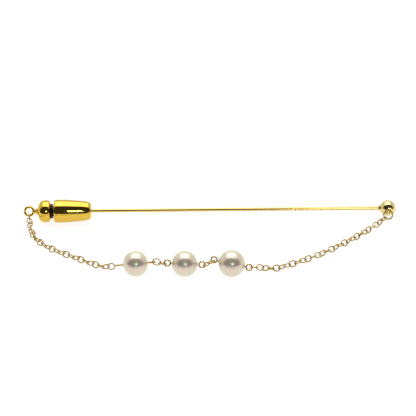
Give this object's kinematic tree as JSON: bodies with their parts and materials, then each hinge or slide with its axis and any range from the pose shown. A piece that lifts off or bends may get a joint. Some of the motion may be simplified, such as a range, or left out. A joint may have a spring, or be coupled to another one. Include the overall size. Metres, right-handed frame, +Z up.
{
  "type": "beaded stick pin",
  "caption": "Long straight tie pin with a ball head, a sliding ball-lock clutch on the point, and a fine cable chain with pearls slung between the two.",
  "frame": {"origin": "on the axis of the pin, at the middle of the overall length", "axes": "+X along the pin towards the ball head, +Z up from the surface it lies on, -Y towards the side the chain hangs on"},
  "size_m": [0.0801, 0.0276, 0.0055],
  "materials": {
    "gold": "polished yellow gold plate",
    "pale_gold": "polished pale champagne gold",
    "steel": "plain spring and bearing steel, inside the clutch",
    "dark_steel": "blackened steel stem and washer",
    "pearl": "lustrous nacre with a faint pink and green orient"
  },
  "bodies": {
    "pin": {"pin_wire": "gold", "head_ball": "pale_gold", "head_loop": "pale_gold"},
    "barrel": {"clutch_barrel": "gold", "clutch_bush": "gold", "clutch_spring": "steel"},
    "core": {"clutch_cage": "dark_steel", "clutch_collar": "dark_steel", "clutch_knob": "gold", "clutch_eyelet": "gold"},
    "ball_1": {"clutch_ball_1": "steel"},
    "ball_2": {"clutch_ball_2": "steel"},
    "ball_3": {"clutch_ball_3": "steel"},
    "left_1": {"left_links_1": "gold"},
    "left_2": {"left_links_2": "gold"},
    "left_3": {"left_links_3": "gold"},
    "left_4": {"left_links_4": "gold"},
    "left_5": {"left_links_5": "gold"},
    "left_6": {"left_links_6": "gold"},
    "left_7": {"left_links_7": "gold"},
    "left_8": {"left_links_8": "gold"},
    "head_ring": {"head_ring": "gold"},
    "right_1": {"right_links_1": "gold"},
    "right_2": {"right_links_2": "gold"},
    "right_3": {"right_links_3": "gold"},
    "right_4": {"right_links_4": "gold"},
    "right_5": {"right_links_5": "gold"},
    "right_6": {"right_links_6": "gold"},
    "right_7": {"right_links_7": "gold"},
    "right_8": {"right_links_8": "gold"},
    "right_9": {"right_links_9": "gold"},
    "right_10": {"right_links_10": "gold"},
    "eye_3": {"eye_pin_3": "gold"},
    "bead_3": {"bead_3": "pearl"},
    "link_4": {"connector_4": "gold"},
    "link_3": {"connector_3": "gold"},
    "eye_2": {"eye_pin_2": "gold"},
    "bead_2": {"bead_2": "pearl"},
    "link_2": {"connector_2": "gold"},
    "link_1": {"connector_1": "gold"},
    "eye_1": {"eye_pin_1": "gold"},
    "bead_1": {"bead_1": "pearl"}
  },
  "joints": [
    {"name": "clutch_slide", "type": "slide", "parent": "pin", "child": "barrel", "axis": [-1, 0, 0], "range_m": [0, 0.009]},
    {"name": "knob_pull", "type": "slide", "parent": "barrel", "child": "core", "axis": [-1, 0, 0], "range_m": [0, 0.0008], "stiffness_N_per_m": 600, "springref_m": -0.0004, "deforming": ["clutch_spring"]},
    {"name": "ball_1_out", "type": "slide", "parent": "core", "child": "ball_1", "axis": [0, 0, 1], "range_m": [0, 0.00015]},
    {"name": "ball_2_out", "type": "slide", "parent": "core", "child": "ball_2", "axis": [0, 0.866, -0.5], "range_m": [0, 0.00015]},
    {"name": "ball_3_out", "type": "slide", "parent": "core", "child": "ball_3", "axis": [0, -0.866, -0.5], "range_m": [0, 0.00015]},
    {"name": "left_1_swing", "type": "hinge", "parent": "core", "child": "left_1", "pos_m": [-0.0385, -0.00047, -0.00081], "axis": [1, 0, 0], "range_deg": [-40, 40]},
    {"name": "left_2_lift", "type": "hinge", "parent": "left_1", "child": "left_2", "pos_m": [-0.03796, -0.00388, -0.00148], "axis": [-0.9804, -0.1972, 0], "range_deg": [-15, 15]},
    {"name": "left_3_turn", "type": "hinge", "parent": "left_2", "child": "left_3", "pos_m": [-0.03692, -0.00752, -0.00167], "axis": [0, 0, 1], "range_deg": [-12, 0]},
    {"name": "left_4_lift", "type": "hinge", "parent": "left_3", "child": "left_4", "pos_m": [-0.03489, -0.0107, -0.00167], "axis": [-0.7547, -0.6561, 0], "range_deg": [-15, 15]},
    {"name": "left_5_turn", "type": "hinge", "parent": "left_4", "child": "left_5", "pos_m": [-0.03212, -0.01328, -0.00167], "axis": [0, 0, 1], "range_deg": [-12, 0]},
    {"name": "left_6_lift", "type": "hinge", "parent": "left_5", "child": "left_6", "pos_m": [-0.029, -0.01545, -0.00167], "axis": [-0.5556, -0.8315, 0], "range_deg": [-15, 15]},
    {"name": "left_7_turn", "type": "hinge", "parent": "left_6", "child": "left_7", "pos_m": [-0.02583, -0.01753, -0.00167], "axis": [0, 0, 1], "range_deg": [-12, 0]},
    {"name": "left_8_lift", "type": "hinge", "parent": "left_7", "child": "left_8", "pos_m": [-0.02266, -0.01962, -0.0016], "axis": [-0.5225, -0.8526, 0], "range_deg": [-15, 15]},
    {"name": "ring_swing", "type": "hinge", "parent": "pin", "child": "head_ring", "pos_m": [0.03895, -0.00195, 0.0004], "axis": [1, 0, 0], "range_deg": [-45, 15]},
    {"name": "right_1_swing", "type": "hinge", "parent": "head_ring", "child": "right_1", "pos_m": [0.03792, -0.00232, -0.00111], "axis": [0, 0, 1], "range_deg": [0, 12]},
    {"name": "right_2_lift", "type": "hinge", "parent": "right_1", "child": "right_2", "pos_m": [0.03537, -0.00487, -0.00159], "axis": [-0.7071, 0.7071, 0], "range_deg": [-15, 15]},
    {"name": "right_3_turn", "type": "hinge", "parent": "right_2", "child": "right_3", "pos_m": [0.03269, -0.00754, -0.00171], "axis": [0, 0, 1], "range_deg": [0, 12]},
    {"name": "right_4_lift", "type": "hinge", "parent": "right_3", "child": "right_4", "pos_m": [0.02995, -0.01017, -0.00171], "axis": [-0.6807, 0.7325, 0], "range_deg": [-15, 15]},
    {"name": "right_5_turn", "type": "hinge", "parent": "right_4", "child": "right_5", "pos_m": [0.02712, -0.0127, -0.00171], "axis": [0, 0, 1], "range_deg": [0, 12]},
    {"name": "right_6_lift", "type": "hinge", "parent": "right_5", "child": "right_6", "pos_m": [0.02418, -0.01509, -0.00171], "axis": [-0.6088, 0.7934, 0], "range_deg": [-15, 15]},
    {"name": "right_7_turn", "type": "hinge", "parent": "right_6", "child": "right_7", "pos_m": [0.02108, -0.01729, -0.00171], "axis": [0, 0, 1], "range_deg": [0, 12]},
    {"name": "right_8_lift", "type": "hinge", "parent": "right_7", "child": "right_8", "pos_m": [0.01782, -0.01922, -0.00171], "axis": [-0.4787, 0.878, 0], "range_deg": [-15, 15]},
    {"name": "right_9_turn", "type": "hinge", "parent": "right_8", "child": "right_9", "pos_m": [0.01445, -0.02097, -0.00167], "axis": [0, 0, 1], "range_deg": [0, 12]},
    {"name": "right_10_lift", "type": "hinge", "parent": "right_9", "child": "right_10", "pos_m": [0.01106, -0.0224, -0.00083], "axis": [-0.2756, 0.9613, 0], "range_deg": [-15, 15]},
    {"name": "eye_3_turn", "type": "hinge", "parent": "right_10", "child": "eye_3", "pos_m": [0.00864, -0.0229, -0.00037], "axis": [0, 0, 1], "range_deg": [0, 10]},
    {"name": "bead_3_spin", "type": "hinge", "parent": "eye_3", "child": "bead_3", "pos_m": [0.00469, -0.02236, 0.00025], "axis": [-0.9724, 0.1715, 0.1582], "continuous": true},
    {"name": "link_4_lift", "type": "hinge", "parent": "eye_3", "child": "link_4", "pos_m": [0.00094, -0.02175, 0.00062], "axis": [-0.0628, 0.998, 0], "range_deg": [-10, 10]},
    {"name": "link_3_turn", "type": "hinge", "parent": "link_4", "child": "link_3", "pos_m": [0.00009, -0.02184, 0.00007], "axis": [0, 0, 1], "range_deg": [0, 10]},
    {"name": "eye_2_lift", "type": "hinge", "parent": "link_3", "child": "eye_2", "pos_m": [-0.00097, -0.02195, -0.00017], "axis": [-0.0854, 0.9963, 0], "range_deg": [-10, 10]},
    {"name": "bead_2_spin", "type": "hinge", "parent": "eye_2", "child": "bead_2", "pos_m": [-0.00485, -0.02217, 0.00015], "axis": [-0.994, -0.0521, 0.0958], "continuous": true},
    {"name": "link_2_turn", "type": "hinge", "parent": "eye_2", "child": "link_2", "pos_m": [-0.00877, -0.02238, 0.00047], "axis": [0, 0, 1], "range_deg": [0, 10]},
    {"name": "link_1_lift", "type": "hinge", "parent": "link_2", "child": "link_1", "pos_m": [-0.00997, -0.02232, 0.00059], "axis": [0.1495, 0.9888, 0], "range_deg": [-10, 10]},
    {"name": "eye_1_turn", "type": "hinge", "parent": "link_1", "child": "eye_1", "pos_m": [-0.01109, -0.02218, 0.00065], "axis": [0, 0, 1], "range_deg": [0, 10]},
    {"name": "bead_1_spin", "type": "hinge", "parent": "eye_1", "child": "bead_1", "pos_m": [-0.01484, -0.02185, 0.0001], "axis": [-0.9855, 0.0862, -0.1461], "continuous": true}
  ],
  "couplings": [
    {"joint": "ball_1_out", "follows": "knob_pull", "ratio": 0.1763},
    {"joint": "ball_2_out", "follows": "knob_pull", "ratio": 0.1763},
    {"joint": "ball_3_out", "follows": "knob_pull", "ratio": 0.1763}
  ]
}
